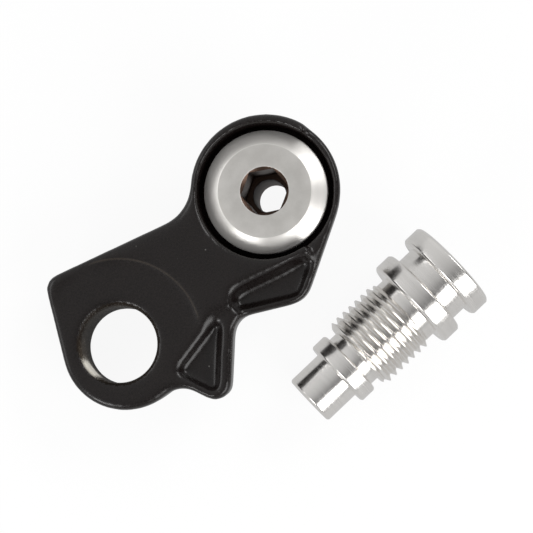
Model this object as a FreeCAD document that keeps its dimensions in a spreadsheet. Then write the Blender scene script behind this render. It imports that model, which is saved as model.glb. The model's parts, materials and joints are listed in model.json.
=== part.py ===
import FreeCAD, Part
import math
import os
import Sketcher
from FreeCAD import Placement, Rotation, Vector

# A derailleur hanger: a black forged bracket, the hollow bolt that fastens it to the frame,
# the snap ring that keeps that bolt captive, and the axle bolt that carries the derailleur.
# All lengths are millimetres and all angles are degrees. The bracket is drawn in its own frame,
# with the eye's axis on Z and the seat on the frame at Z = 0, and is then laid on the table.

SIZES = [
    # bracket, levels above the seat
    ("plate_thick", 8.0, "seat to the highest face"),
    ("draft_angle", 5.5, "forging draft of the outer wall, degrees"),
    ("top_round", 1.2, "edge round of the plate's front"),
    ("low_round", 0.6, "edge round of the low rim's front"),
    ("back_round", 0.6, "edge round of the seat side"),
    ("spot_drop", 0.4, "drop of the derailleur's spot face"),
    ("low_drop", 1.4, "drop of the low rim on the right of the eye"),
    ("pocket_a_deep", 1.4, "depth of the lower tab's pocket under the spot face"),
    ("pocket_b_deep", 1.0, "depth of the upper tab's pocket under the low rim"),
    ("pocket_wall_angle", 18.0, "slope of the pocket walls, degrees"),
    ("bevel_angle", 45.0, "slope of the bevel above the lower tab, degrees"),
    # bracket, eye
    ("eye_wall", 1.01, "wall of the eye round the head's recess"),
    ("eye_shift_x", 0.04, "middle of the eye's outside from its bore, across"),
    ("eye_shift_y", 0.28, "middle of the eye's outside from its bore, up"),
    ("recess_radius", 8.1, "recess for the bolt's head"),
    ("recess_deep", 3.6, "recess below the highest face"),
    ("shank_gap", 0.1, "radial running gap of the bolt in the eye"),
    ("ring_seat_radius", 6.7, "counterbore for the snap ring"),
    ("ring_seat_deep", 1.2, "depth of that counterbore"),
    ("step_angle", 56.0, "where the high rim ends above the eye, degrees"),
    # bracket, derailleur hole and lobe
    ("hole_x", -17.4, "derailleur hole from the eye, across"),
    ("hole_y", -18.05, "derailleur hole from the eye, down"),
    ("hole_radius", 4.58, "derailleur hole"),
    ("hole_round", 0.5, "edge round of that hole"),
    ("spot_radius", 10.1, "spot face round that hole"),
    ("spot_rim_upper", 1.35, "rim left beside the spot face along the upper edge"),
    ("spot_rim_side", 0.8, "rim left beside the spot face along the left edge"),
    ("spot_corner_round", 1.3, "upper left corner of the spot face"),
    ("lobe_radius", 7.73, "outside of the lobe"),
    ("lobe_shift_x", 0.73, "lobe's centre from the hole, across"),
    ("lobe_shift_y", -0.26, "lobe's centre from the hole, up"),
    ("upper_edge_angle", 24.5, "slope of the upper edge, degrees"),
    ("upper_edge_offset", 1.69, "upper edge above the eye's centre"),
    ("side_edge_angle", 14.5, "slope of the left edge, degrees"),
    ("corner_round", 1.9, "upper left corner"),
    ("neck_round", 5.0, "hollow between the eye and the upper edge"),
    ("notch_round", 2.8, "hollow between the lobe and the lower tab"),
    # bracket, tabs
    ("tab_a_tip_x", -3.95, "lower tab's sharp corner, across"),
    ("tab_a_tip_y", -26.09, "lower tab's sharp corner, down"),
    ("tab_a_angle", 27.0, "slope of the lower tab's bottom edge, degrees"),
    ("tab_a_round", 2.1, "lower tab's corner"),
    ("elbow_x", -3.48, "sharp corner between the tabs, across"),
    ("elbow_y", -15.23, "sharp corner between the tabs, down"),
    ("elbow_round", 2.0, "hollow between the tabs"),
    ("tab_b_angle", 13.2, "slope of the upper tab's bottom edge, degrees"),
    ("tab_b_side_angle", 19.4, "slope of the upper tab's right edge, degrees"),
    ("tab_b_round", 3.6, "upper tab's corner"),
    ("pocket_round", 0.7, "corners of the pockets"),
    ("pocket_floor_round", 0.3, "round at the floor of the pockets"),
    ("pocket_rim_round", 0.3, "round at the rim of the lower tab's pocket"),
    ("diagonal_angle", 52.8, "slope of the edge between the spot face and the lower tab, degrees"),
    ("diagonal_offset", 7.35, "that edge from the derailleur hole"),
    ("bevel_offset", 6.65, "upper edge of the bevel from the derailleur hole"),
    ("bevel_round", 0.2, "round along the bevel's upper edge"),
    ("bevel_peak", 1.88, "peak of the bevel above the corner between the tabs"),
    ("bevel_long", 4.6, "bevel from its peak down to the spot face"),
    ("rim_a_side", 1.52, "lower tab's rim on the right"),
    ("rim_a_foot", 1.01, "lower tab's rim at the bottom"),
    ("rim_b_side", 1.06, "upper tab's rim on the right"),
    ("rim_b_foot", 0.98, "upper tab's rim at the bottom"),
    ("brow_start_x", 8.03, "high plate's edge beside the recess, across from the corner between the tabs"),
    ("brow_start_y", 7.83, "high plate's edge beside the recess, above that corner"),
    ("brow_kink_x", 5.2, "kink in that edge, across"),
    ("brow_kink_y", 6.23, "kink in that edge, up"),
    ("brow_bend_x", -1.05, "bend of that edge down the rib between the tabs, across"),
    ("brow_bend_y", 3.3, "bend of that edge, up"),
    ("rib_lean_angle", 17.3, "lean of that edge down the rib, degrees"),
    ("brow_round", 1.5, "round of the bend"),
    ("low_end_angle", -52.5, "where the high rim starts again below the eye, degrees"),
    # frame bolt
    ("head_sunk", 0.8, "bolt's face below the highest face"),
    ("head_radius", 7.4, "bolt's head"),
    ("face_radius", 5.63, "flat face of the head"),
    ("cone_high", 1.3, "height of the head's cone"),
    ("head_gap", 0.1, "gap under the head"),
    ("shank_radius", 5.0, "shank, and outside of its M10 thread"),
    ("bolt_long", 12.8, "bolt from face to tip"),
    ("tip_chamfer", 0.6, "chamfer at the bolt's tip"),
    ("hex_flats", 5.0, "hex socket across flats"),
    ("hex_deep", 5.8, "depth of the hex socket"),
    ("hex_angle", 10.0, "angle of one corner of the socket, degrees"),
    ("mouth_radius", 2.94, "countersunk mouth of the socket"),
    ("bore_radius", 2.0, "bore right through the bolt"),
    # snap ring
    ("ring_thick", 1.0, "snap ring along the axis"),
    ("ring_radius", 6.2, "snap ring's outside"),
    ("ring_lift", 0.05, "snap ring above the seat"),
    ("ring_fit", 0.05, "gap of the ring in its groove"),
    ("groove_radius", 4.5, "bottom of the ring's groove"),
    ("ring_open_angle", 40.0, "opening of the ring, degrees"),
    # axle bolt, from the pilot end to the head end
    ("pilot_long", 4.62, "pilot"),
    ("pilot_radius", 3.3, "pilot"),
    ("collar_long", 2.2, "collar"),
    ("collar_radius", 4.42, "collar"),
    ("relief_long", 1.2, "thread relief behind the collar"),
    ("relief_radius", 3.66, "thread relief behind the collar"),
    ("thread_long", 7.55, "M10 x 1 thread"),
    ("thread_radius", 5.0, "M10 x 1 thread"),
    ("thread_pitch", 1.0, "from one groove of the thread to the next"),
    ("thread_deep", 0.61, "depth of the thread"),
    ("runout_long", 1.25, "relief in front of the flange"),
    ("runout_radius", 4.43, "relief in front of the flange"),
    ("flange_long", 2.53, "flange"),
    ("flange_radius", 6.1, "flange and head"),
    ("groove_long", 2.3, "groove between flange and head"),
    ("waist_radius", 4.75, "groove between flange and head"),
    ("head_long", 2.53, "head"),
    ("thread_chamfer", 0.5, "chamfer at the ends of the thread"),
    ("flange_chamfer", 0.28, "chamfer of the flange and the head"),
    ("end_chamfer", 0.22, "chamfer of the pilot and the collar"),
    ("pilot_hole_radius", 2.2, "hole in the pilot's end"),
    ("pilot_hole_deep", 5.0, "depth of that hole"),
    ("key_deep", 4.0, "depth of the hex socket in the head's end"),
    # axle bolt on the table, seen from above
    ("axle_x", 13.7, "axle's middle from the eye, across"),
    ("axle_y", -16.1, "axle's middle from the eye, up"),
    ("axle_angle", 44.25, "direction of the axle's head, degrees"),
]

document = FreeCAD.newDocument("derailleur_hanger")
sheet = document.addObject("Spreadsheet::Sheet", "sizes")
for row, (alias, number, note) in enumerate(SIZES, start=1):
    sheet.set("A%d" % row, alias)
    sheet.set("B%d" % row, str(number))
    sheet.set("C%d" % row, note)
    sheet.setAlias("B%d" % row, alias)
document.recompute()


def size(alias):
    return float(sheet.get(alias))


def polar(radius, degrees):
    angle = math.radians(degrees)
    return (radius * math.cos(angle), radius * math.sin(angle))


def unit(start, end):
    length = math.hypot(end[0] - start[0], end[1] - start[1])
    return ((end[0] - start[0]) / length, (end[1] - start[1]) / length)


def along(point, direction, distance):
    return (point[0] + direction[0] * distance, point[1] + direction[1] * distance)


def meet(point, direction, other, other_direction):
    """Crossing of two lines, each given by a point and a direction."""
    cross = direction[0] * other_direction[1] - direction[1] * other_direction[0]
    gap = (other[0] - point[0], other[1] - point[1])
    return along(point, direction, (gap[0] * other_direction[1] - gap[1] * other_direction[0]) / cross)


def round_corner(before, corner, after, radius):
    """Start, centre and end of the arc that rounds a corner."""
    back = unit(corner, before)
    ahead = unit(corner, after)
    half = math.acos(back[0] * ahead[0] + back[1] * ahead[1]) / 2
    middle = unit((0, 0), (back[0] + ahead[0], back[1] + ahead[1]))
    reach = radius / math.tan(half)
    centre = along(corner, middle, radius / math.sin(half))
    return along(corner, back, reach), centre, along(corner, ahead, reach)


def bridge(centre, circle_radius, point, direction, radius, side):
    """Arc outside a circle that runs into a line, on the line's left (+1) or right (-1) side."""
    normal = (-direction[1] * side, direction[0] * side)
    start = along(point, normal, radius)
    gap = (start[0] - centre[0], start[1] - centre[1])
    run = gap[0] * direction[0] + gap[1] * direction[1]
    rest = gap[0] ** 2 + gap[1] ** 2 - (circle_radius + radius) ** 2
    distance = -run + side * -1 * math.sqrt(run * run - rest)
    middle = along(start, direction, distance)
    return along(centre, unit(centre, middle), circle_radius), middle, along(middle, normal, -radius)


def eye_radius():
    """Outside of the eye."""
    return size("recess_radius") + size("eye_wall")


def upper_edge(inset):
    """Point and direction of the straight upper edge, or of a line inside it."""
    slope = math.radians(size("upper_edge_angle"))
    point = along((0.0, 0.0), (-math.sin(slope), math.cos(slope)), size("upper_edge_offset") - inset)
    return point, (-math.cos(slope), -math.sin(slope))


def side_edge(inset):
    """Foot and direction of the straight left edge, or of a line inside it."""
    slope = math.radians(size("side_edge_angle"))
    foot = along(lobe_centre(), (-math.cos(slope), -math.sin(slope)), size("lobe_radius") - inset)
    return foot, (math.sin(slope), -math.cos(slope))


def bracket_outline():
    """Lines and arcs of the bracket's outline at its highest face, anticlockwise."""
    eye = (size("eye_shift_x"), size("eye_shift_y"))
    lobe = lobe_centre()
    upper_point, upper_way = upper_edge(0.0)
    side_end, side_way = side_edge(0.0)
    corner = meet(upper_point, upper_way, side_end, side_way)
    neck = bridge(eye, eye_radius(), upper_point, upper_way, size("neck_round"), -1)
    corner_arc = round_corner(neck[2], corner, side_end, size("corner_round"))
    tip = (size("tab_a_tip_x"), size("tab_a_tip_y"))
    bottom = math.radians(size("tab_a_angle"))
    inward = (-math.cos(bottom), math.sin(bottom))
    notch = bridge(lobe, size("lobe_radius"), tip, inward, size("notch_round"), 1)
    elbow = (size("elbow_x"), size("elbow_y"))
    tab_a_arc = round_corner(notch[2], tip, elbow, size("tab_a_round"))
    shelf_way = polar(1.0, size("tab_b_angle"))
    right = math.radians(size("tab_b_side_angle"))
    right_end = along(eye, (math.cos(right), -math.sin(right)), eye_radius())
    tab_b = meet(elbow, shelf_way, right_end, (math.sin(right), math.cos(right)))
    elbow_arc = round_corner(tip, elbow, tab_b, size("elbow_round"))
    tab_b_arc = round_corner(elbow, tab_b, right_end, size("tab_b_round"))
    return [
        ("arc", right_end, eye, neck[0], True),
        ("arc", neck[0], neck[1], neck[2], False),
        ("line", neck[2], corner_arc[0]),
        ("arc", corner_arc[0], corner_arc[1], corner_arc[2], True),
        ("line", corner_arc[2], side_end),
        ("arc", side_end, lobe, notch[0], True),
        ("arc", notch[0], notch[1], notch[2], False),
        ("line", notch[2], tab_a_arc[0]),
        ("arc", tab_a_arc[0], tab_a_arc[1], tab_a_arc[2], True),
        ("line", tab_a_arc[2], elbow_arc[0]),
        ("arc", elbow_arc[0], elbow_arc[1], elbow_arc[2], False),
        ("line", elbow_arc[2], tab_b_arc[0]),
        ("arc", tab_b_arc[0], tab_b_arc[1], tab_b_arc[2], True),
        ("line", tab_b_arc[2], right_end),
    ]


def lobe_centre():
    return (size("hole_x") + size("lobe_shift_x"), size("hole_y") + size("lobe_shift_y"))


def polygon(points, rounds=None):
    """Closed run of lines through the points, with its corners rounded if a radius is given for each."""
    count = len(points)
    if rounds is None:
        return [("line", points[i], points[(i + 1) % count]) for i in range(count)]
    arcs = []
    for i in range(count):
        before, corner, after = points[i - 1], points[i], points[(i + 1) % count]
        turn = (corner[0] - before[0]) * (after[1] - corner[1])
        turn -= (corner[1] - before[1]) * (after[0] - corner[0])
        arcs.append(round_corner(before, corner, after, rounds[i]) + (turn > 0,))
    run = []
    for i in range(count):
        run.append(("arc",) + arcs[i])
        run.append(("line", arcs[i][2], arcs[(i + 1) % count][0]))
    return run


def vector(point):
    return Vector(point[0], point[1], 0)


def draw(sketch, run):
    """Puts a closed run of lines and arcs in a sketch and joins their ends."""
    ends = []
    for piece in run:
        if piece[0] == "line":
            index = sketch.addGeometry(Part.LineSegment(vector(piece[1]), vector(piece[2])), False)
            ends.append((index, 1, 2))
            continue
        start, centre, end, left = piece[1:]
        radius = math.hypot(start[0] - centre[0], start[1] - centre[1])
        begin = math.atan2(start[1] - centre[1], start[0] - centre[0])
        finish = math.atan2(end[1] - centre[1], end[0] - centre[0])
        circle = Part.Circle(vector(centre), Vector(0, 0, 1), radius)
        if left:
            index = sketch.addGeometry(Part.ArcOfCircle(circle, begin, finish), False)
            ends.append((index, 1, 2))
        else:
            index = sketch.addGeometry(Part.ArcOfCircle(circle, finish, begin), False)
            ends.append((index, 2, 1))
    for this, following in zip(ends, ends[1:] + ends[:1]):
        sketch.addConstraint(Sketcher.Constraint("Coincident", this[0], this[2], following[0], following[1]))


def new_body(label):
    body = document.addObject("PartDesign::Body", label)
    body.Label = label
    return body


def plane(body, role):
    return [feature for feature in body.Origin.OriginFeatures if feature.Role == role][0]


def new_sketch(body, label, role="XY_Plane", height="0"):
    """Empty sketch on one of the body's own planes, lifted by a sheet expression."""
    sketch = body.newObject("Sketcher::SketchObject", label)
    sketch.AttachmentSupport = [(plane(body, role), "")]
    sketch.MapMode = "FlatFace"
    sketch.setExpression("AttachmentOffset.Base.z", height)
    document.recompute()
    return sketch


def circle_sketch(body, label, radius, height, x="0", y="0"):
    """Sketch of one circle whose radius and centre follow the sheet."""
    sketch = new_sketch(body, label, "XY_Plane", height)
    sketch.addGeometry(Part.Circle(Vector(1, 1, 0), Vector(0, 0, 1), 1), False)
    for kind, expression in (("Radius", radius), ("DistanceX", x), ("DistanceY", y)):
        if kind == "Radius":
            index = sketch.addConstraint(Sketcher.Constraint("Radius", 0, 1.0))
        elif expression == "0":
            continue
        else:
            index = sketch.addConstraint(Sketcher.Constraint(kind, -1, 1, 0, 3, 1.0))
        sketch.setExpression("Constraints[%d]" % index, expression)
    if x == "0" and y == "0":
        sketch.addConstraint(Sketcher.Constraint("Coincident", 0, 3, -1, 1))
    document.recompute()
    return sketch


def run_sketch(body, label, run, height="0", role="XY_Plane"):
    sketch = new_sketch(body, label, role, height)
    draw(sketch, run)
    document.recompute()
    return sketch


def cut(body, label, sketch, depth, reverse=False, slope=None):
    """Pocket below a sketch, or above it when reversed, and a check that it removed something."""
    before = body.Tip.Shape.Volume
    pocket = body.newObject("PartDesign::Pocket", label)
    pocket.Profile = sketch
    pocket.Type = "Length"
    pocket.setExpression("Length", depth)
    pocket.Reversed = reverse
    if slope:
        pocket.setExpression("TaperAngle", slope)
    document.recompute()
    if not pocket.Shape.Volume < before - 1e-6:
        raise RuntimeError(label + " cuts nothing")
    return pocket


def edges_where(shape, test):
    return ["Edge%d" % (i + 1) for i, edge in enumerate(shape.Edges) if test(edge)]


def flat_at(edge, level):
    box = edge.BoundBox
    return abs(box.ZMin - level) < 1e-4 and abs(box.ZMax - level) < 1e-4


def soften(body, kind, label, test, amount):
    """Fillet or chamfer on the edges of the body so far that pass a test."""
    base = body.Tip
    feature = body.newObject("PartDesign::" + kind, label)
    feature.Base = (base, edges_where(base.Shape, test))
    feature.setExpression("Radius" if kind == "Fillet" else "Size", amount)
    document.recompute()
    return feature


def rim_of(before):
    """Test for the edges that a cut leaves on the surface that it goes into."""
    skin = Part.Compound(before.Faces)
    old_edges = Part.Compound(before.Edges)

    def test(edge):
        middle = Part.Vertex(edge.valueAt(0.5 * (edge.FirstParameter + edge.LastParameter)))
        return skin.distToShape(middle)[0] < 1e-4 and old_edges.distToShape(middle)[0] > 1e-4

    return test


def circle_edge(edge, x, y, radius, level):
    if not flat_at(edge, level):
        return False
    curve = edge.Curve
    if not hasattr(curve, "Radius"):
        return False
    return math.hypot(curve.Center.x - x, curve.Center.y - y) < 1e-3 and abs(curve.Radius - radius) < 1e-3


def pocket_a_corners():
    """Top corners of the lower tab's pocket: a triangle between the tab's two rims and the diagonal."""
    tip = (size("tab_a_tip_x"), size("tab_a_tip_y"))
    elbow = (size("elbow_x"), size("elbow_y"))
    side_way = unit(tip, elbow)
    side_point = along(tip, (-side_way[1], side_way[0]), size("rim_a_side"))
    foot = math.radians(size("tab_a_angle"))
    foot_way = (-math.cos(foot), math.sin(foot))
    foot_point = along(tip, (-foot_way[1] * -1, foot_way[0] * -1), size("rim_a_foot"))
    diagonal_way, diagonal_normal = diagonal()
    hole = (size("hole_x"), size("hole_y"))
    diagonal_point = along(hole, diagonal_normal, size("diagonal_offset"))
    return [
        meet(side_point, side_way, foot_point, foot_way),
        meet(side_point, side_way, diagonal_point, diagonal_way),
        meet(foot_point, foot_way, diagonal_point, diagonal_way),
    ]


def diagonal():
    """Direction of the diagonal edge and its normal towards the lower tab."""
    way = polar(1.0, size("diagonal_angle"))
    return way, (way[1], -way[0])


def deck_a_corners():
    """Area of the lower tab that lies level with the spot face. The bevel stands on its upper left side."""
    way, normal = diagonal()
    elbow = (size("elbow_x"), size("elbow_y"))
    hole = (size("hole_x"), size("hole_y"))
    tip = (size("tab_a_tip_x"), size("tab_a_tip_y"))
    reach = size("spot_radius")
    bevel = along(hole, normal, size("bevel_offset"))
    peak = meet(bevel, way, along(elbow, (0, 1), size("bevel_peak")), (1.0, 0.25))
    return [
        along(peak, way, -size("bevel_long")),
        along(hole, unit(hole, tip), 0.75 * reach),
        (tip[0] - 0.9 * reach, tip[1] - 0.3 * reach),
        (tip[0] + 0.3 * reach, tip[1] - 0.3 * reach),
        (elbow[0] + 0.2 * reach, elbow[1] - 0.2 * reach),
        (elbow[0] + 0.1 * reach, elbow[1] + 1.12 * size("bevel_peak")),
        peak,
    ]


def high_edge():
    """Edge of the high plate above the upper tab, from the recess down the rib between the tabs."""
    elbow = (size("elbow_x"), size("elbow_y"))
    corners = ["start", "kink", "bend"]
    return [(elbow[0] + size("brow_%s_x" % name), elbow[1] + size("brow_%s_y" % name)) for name in corners]


def pocket_flare():
    """How far the upper tab's pocket narrows from the highest face down to the low rim."""
    return size("low_drop") * math.tan(math.radians(size("pocket_wall_angle")))


def low_deck_corners():
    """Area of the low rim: the right of the eye and the upper tab, seen from above."""
    elbow = (size("elbow_x"), size("elbow_y"))
    eye = eye_radius()
    start, kink, bend = [(x + 2.4 * pocket_flare(), y - 1.8 * pocket_flare()) for x, y in high_edge()]
    return [
        (0.0, 0.0),
        polar(0.95 * eye, size("low_end_angle")),
        start,
        kink,
        bend,
        (elbow[0] + 0.13 * eye, elbow[1] - 0.17 * eye),
        (2.0 * eye, elbow[1] - 0.22 * eye),
        (2.0 * eye, 2.0 * eye),
        polar(1.4 * eye, size("step_angle")),
    ]


def pocket_b_corners():
    """Top corners of the upper tab's pocket, at the highest face."""
    elbow = (size("elbow_x"), size("elbow_y"))
    flare = pocket_flare()
    foot_way = polar(1.0, size("tab_b_angle"))
    foot_point = along(elbow, (-foot_way[1], foot_way[0]), size("rim_b_foot") - flare)
    right = math.radians(size("tab_b_side_angle"))
    right_way = (math.sin(right), math.cos(right))
    right_inset = eye_radius() - size("rim_b_side") + flare
    right_point = along((0.0, 0.0), (math.cos(right), -math.sin(right)), right_inset)
    rib = math.radians(size("rib_lean_angle"))
    edge = high_edge()
    return edge + [
        meet(foot_point, foot_way, edge[2], (math.sin(rib), -math.cos(rib))),
        meet(foot_point, foot_way, right_point, right_way),
        meet(right_point, right_way, edge[0], (1.0, -0.3)),
    ]


def spot_outline():
    """Spot face of the derailleur: an arc round its hole, and a rim left along the upper and left edges."""
    hole = (size("hole_x"), size("hole_y"))
    radius = size("spot_radius")
    way, normal = diagonal()
    start = along(hole, normal, radius)
    upper_point, upper_way = upper_edge(size("spot_rim_upper"))
    gap = (upper_point[0] - hole[0], upper_point[1] - hole[1])
    run = gap[0] * upper_way[0] + gap[1] * upper_way[1]
    rest = gap[0] ** 2 + gap[1] ** 2 - radius ** 2
    end = along(upper_point, upper_way, -run + math.sqrt(run * run - rest))
    side_foot, side_way = side_edge(size("spot_rim_side"))
    corner = meet(upper_point, upper_way, side_foot, side_way)
    bend = round_corner(end, corner, side_foot, size("spot_corner_round"))
    foot = side_edge(0.0)[0]
    out = along(foot, unit(lobe_centre(), foot), radius)
    below = (out[0], hole[1] - 2.0 * radius)
    last = (start[0], hole[1] - 2.0 * radius)
    return [
        ("arc", start, hole, end, True),
        ("line", end, bend[0]),
        ("arc", bend[0], bend[1], bend[2], True),
        ("line", bend[2], foot),
        ("line", foot, out),
        ("line", out, below),
        ("line", below, last),
        ("line", last, start),
    ]


def forged_level(label, drop, edge_round):
    """Body of the whole outline up to one level, with its front and seat edges rounded."""
    body = new_body(label)
    top = "sizes.plate_thick"
    pad = body.newObject("PartDesign::Pad", label + "_pad")
    pad.Profile = run_sketch(body, label + "_outline", bracket_outline(), top)
    pad.setExpression("Length", top)
    pad.Reversed = True
    pad.setExpression("TaperAngle", "-sizes.draft_angle")
    document.recompute()
    level = size("plate_thick")
    if drop:
        reach = 3.0 * (abs(size("hole_x")) + abs(size("hole_y")))
        square = [(-reach, -reach), (reach, -reach), (reach, reach), (-reach, reach)]
        cut(body, label + "_level", run_sketch(body, label + "_plane", polygon(square), top), drop)
        level = size("plate_thick") - size(drop.split(".")[1])
    soften(body, "Fillet", label + "_front", lambda edge: flat_at(edge, level), edge_round)
    soften(body, "Fillet", label + "_seat", lambda edge: flat_at(edge, 0.0), "sizes.back_round")
    return body


def build_bracket():
    """The forging's two levels, joined, and then the spot face, the pockets, the recess and the holes."""
    top = "sizes.plate_thick"
    high = forged_level("high_level", None, "sizes.top_round")
    cut(high, "high_low_side", run_sketch(high, "high_low_outline", polygon(low_deck_corners()), top), top)
    body = forged_level("bracket", "sizes.low_drop", "sizes.low_round")
    joined = body.newObject("PartDesign::Boolean", "levels")
    joined.Type = "Fuse"
    joined.setObjects([high])
    document.recompute()

    cut(body, "spot_face", run_sketch(body, "spot_outline", spot_outline(), top), "sizes.spot_drop")
    milled = body.Tip.Shape
    bevel = run_sketch(body, "bevel_outline", polygon(deck_a_corners()), top)
    cut(body, "bevel", bevel, "sizes.spot_drop", slope="-sizes.bevel_angle")
    soften(body, "Fillet", "bevel_edge", rim_of(milled), "sizes.bevel_round")
    bevelled = body.Tip.Shape
    corner = size("pocket_round")
    spot_level = size("plate_thick") - size("spot_drop")
    lower_floor = spot_level - size("pocket_a_deep")
    upper_floor = size("plate_thick") - size("low_drop") - size("pocket_b_deep")
    lower = polygon(pocket_a_corners(), [corner] * 3)
    first = run_sketch(body, "pocket_a_outline", lower, top + " - sizes.spot_drop")
    cut(body, "lower_tab_pocket", first, "sizes.pocket_a_deep", slope="-sizes.pocket_wall_angle")
    soften(body, "Fillet", "lower_tab_floor", lambda edge: flat_at(edge, lower_floor),
           "sizes.pocket_floor_round")
    soften(body, "Fillet", "lower_tab_rim", rim_of(bevelled), "sizes.pocket_rim_round")
    rounds = [corner, corner, size("brow_round"), corner, corner, corner]
    second = run_sketch(body, "pocket_b_outline", polygon(pocket_b_corners(), rounds), top)
    cut(body, "upper_tab_pocket", second, "sizes.low_drop + sizes.pocket_b_deep",
        slope="-sizes.pocket_wall_angle")
    soften(body, "Fillet", "upper_tab_floor", lambda edge: flat_at(edge, upper_floor),
           "sizes.pocket_floor_round")

    recess = circle_sketch(body, "recess_outline", "sizes.recess_radius", top)
    cut(body, "head_recess", recess, "sizes.recess_deep")
    bore = circle_sketch(body, "eye_outline", "sizes.shank_radius + sizes.shank_gap", top)
    cut(body, "eye_bore", bore, top)
    seat = circle_sketch(body, "ring_seat_outline", "sizes.ring_seat_radius", "0")
    cut(body, "ring_seat", seat, "sizes.ring_seat_deep", reverse=True)
    through = circle_sketch(body, "hole_outline", "sizes.hole_radius", top, "sizes.hole_x", "sizes.hole_y")
    cut(body, "derailleur_hole", through, top)
    x, y, radius = size("hole_x"), size("hole_y"), size("hole_radius")
    soften(body, "Fillet", "hole_round_front",
           lambda edge: circle_edge(edge, x, y, radius, spot_level), "sizes.hole_round")
    soften(body, "Fillet", "hole_round_back",
           lambda edge: circle_edge(edge, x, y, radius, 0.0), "sizes.hole_round")
    return body


def turned(body, label, profile):
    """Solid of revolution about Z from a closed profile of (radius, height) points."""
    sketch = run_sketch(body, label + "_profile", polygon(profile), role="XZ_Plane")
    solid = body.newObject("PartDesign::Revolution", label)
    solid.Profile = sketch
    solid.ReferenceAxis = (sketch, ["V_Axis"])
    solid.Angle = 360
    document.recompute()
    return solid


def hexagon(flats, turn):
    corner = flats / math.sqrt(3.0)
    return [polar(corner, turn + 60.0 * i) for i in range(6)]


def face_height():
    return size("plate_thick") - size("head_sunk")


def groove_levels():
    """Lower and upper side of the ring's groove in the frame bolt."""
    return size("ring_lift") - size("ring_fit"), size("ring_lift") + size("ring_thick") + size("ring_fit")


def build_frame_bolt():
    body = new_body("frame_bolt")
    face = face_height()
    tip = face - size("bolt_long")
    under = size("plate_thick") - size("recess_deep") + size("head_gap")
    head, shank, chamfer = size("head_radius"), size("shank_radius"), size("tip_chamfer")
    low, high = groove_levels()
    mouth, bore = size("mouth_radius"), size("bore_radius")
    turned(body, "turned_bolt", [
        (mouth, face),
        (bore, face - (mouth - bore)),
        (bore, tip),
        (shank - chamfer, tip),
        (shank, tip + chamfer),
        (shank, low),
        (size("groove_radius"), low),
        (size("groove_radius"), high),
        (shank, high),
        (shank, under),
        (head - 0.3, under),
        (head, under + 0.3),
        (head, face - size("cone_high")),
        (size("face_radius"), face),
    ])
    run = polygon(hexagon(size("hex_flats"), size("hex_angle")))
    socket = run_sketch(body, "socket_outline", run, "sizes.plate_thick - sizes.head_sunk")
    cut(body, "hex_socket", socket, "sizes.hex_deep")
    return body


def build_ring():
    body = new_body("retaining_ring")
    outer = size("ring_radius")
    inner = size("groove_radius") + size("ring_fit")
    half = size("ring_open_angle") / 2.0
    run = [
        ("arc", polar(outer, half), (0.0, 0.0), polar(outer, -half), True),
        ("line", polar(outer, -half), polar(inner, -half)),
        ("arc", polar(inner, -half), (0.0, 0.0), polar(inner, half), False),
        ("line", polar(inner, half), polar(outer, half)),
    ]
    sketch = run_sketch(body, "ring_outline", run, "sizes.ring_lift")
    pad = body.newObject("PartDesign::Pad", "ring_stamping")
    pad.Profile = sketch
    pad.setExpression("Length", "sizes.ring_thick")
    document.recompute()
    return body


def axle_stations():
    """Distances from the pilot's end to each shoulder of the axle bolt."""
    steps = ["pilot_long", "collar_long", "relief_long", "thread_long", "runout_long", "flange_long",
             "groove_long", "head_long"]
    stations = [0.0]
    for step in steps:
        stations.append(stations[-1] + size(step))
    return stations


def thread_rings(radius, start, end):
    """Profile of a thread between two heights, drawn as one ring groove for each pitch."""
    pitch = size("thread_pitch")
    count = int((end - start) / pitch + 1e-6)
    first = 0.5 * (start + end - (count - 1) * pitch)
    points = [(radius, start)]
    for i in range(count):
        middle = first + i * pitch
        points.append((radius, middle - 0.4 * pitch))
        points.append((radius - size("thread_deep"), middle))
        points.append((radius, middle + 0.4 * pitch))
    points.append((radius, end))
    return points


def build_axle_bolt():
    body = new_body("axle_bolt")
    end, pilot, collar, relief, thread, runout, flange, groove, head = axle_stations()
    small, bevel, lead = size("end_chamfer"), size("flange_chamfer"), size("thread_chamfer")
    pilot_radius, collar_radius = size("pilot_radius"), size("collar_radius")
    thread_radius, flange_radius = size("thread_radius"), size("flange_radius")
    turned(body, "turned_axle", [
        (0.0, size("pilot_hole_deep")),
        (size("pilot_hole_radius"), size("pilot_hole_deep")),
        (size("pilot_hole_radius"), end),
        (pilot_radius - small, end),
        (pilot_radius, end + small),
        (pilot_radius, pilot),
        (collar_radius - small, pilot),
        (collar_radius, pilot + small),
        (collar_radius, collar - small),
        (collar_radius - small, collar),
        (size("relief_radius"), collar),
        (size("relief_radius"), relief),
        (thread_radius - lead, relief),
    ] + thread_rings(thread_radius, relief + lead, thread - lead) + [
        (thread_radius - lead, thread),
        (size("runout_radius"), thread),
        (size("runout_radius"), runout),
        (flange_radius - bevel, runout),
        (flange_radius, runout + bevel),
        (flange_radius, flange - bevel),
        (flange_radius - bevel, flange),
        (size("waist_radius"), flange),
        (size("waist_radius"), groove),
        (flange_radius - bevel, groove),
        (flange_radius, groove + bevel),
        (flange_radius, head - bevel),
        (flange_radius - bevel, head),
        (0.0, head),
    ])
    run = polygon(hexagon(size("hex_flats"), 0.0))
    lengths = ["pilot_long", "collar_long", "relief_long", "thread_long", "runout_long", "flange_long",
               "groove_long", "head_long"]
    socket = run_sketch(body, "key_outline", run, " + ".join("sizes." + length for length in lengths))
    cut(body, "key_socket", socket, "sizes.key_deep")
    return body


def support(centre, radius, height, edge_round, normal):
    """Point of a round edge that touches a table below, for a table with the given normal."""
    level = math.hypot(normal.x, normal.y)
    outward = Vector(-normal.x / level, -normal.y / level, 0)
    return Vector(centre[0], centre[1], height + edge_round) + outward * radius - normal * edge_round


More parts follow.
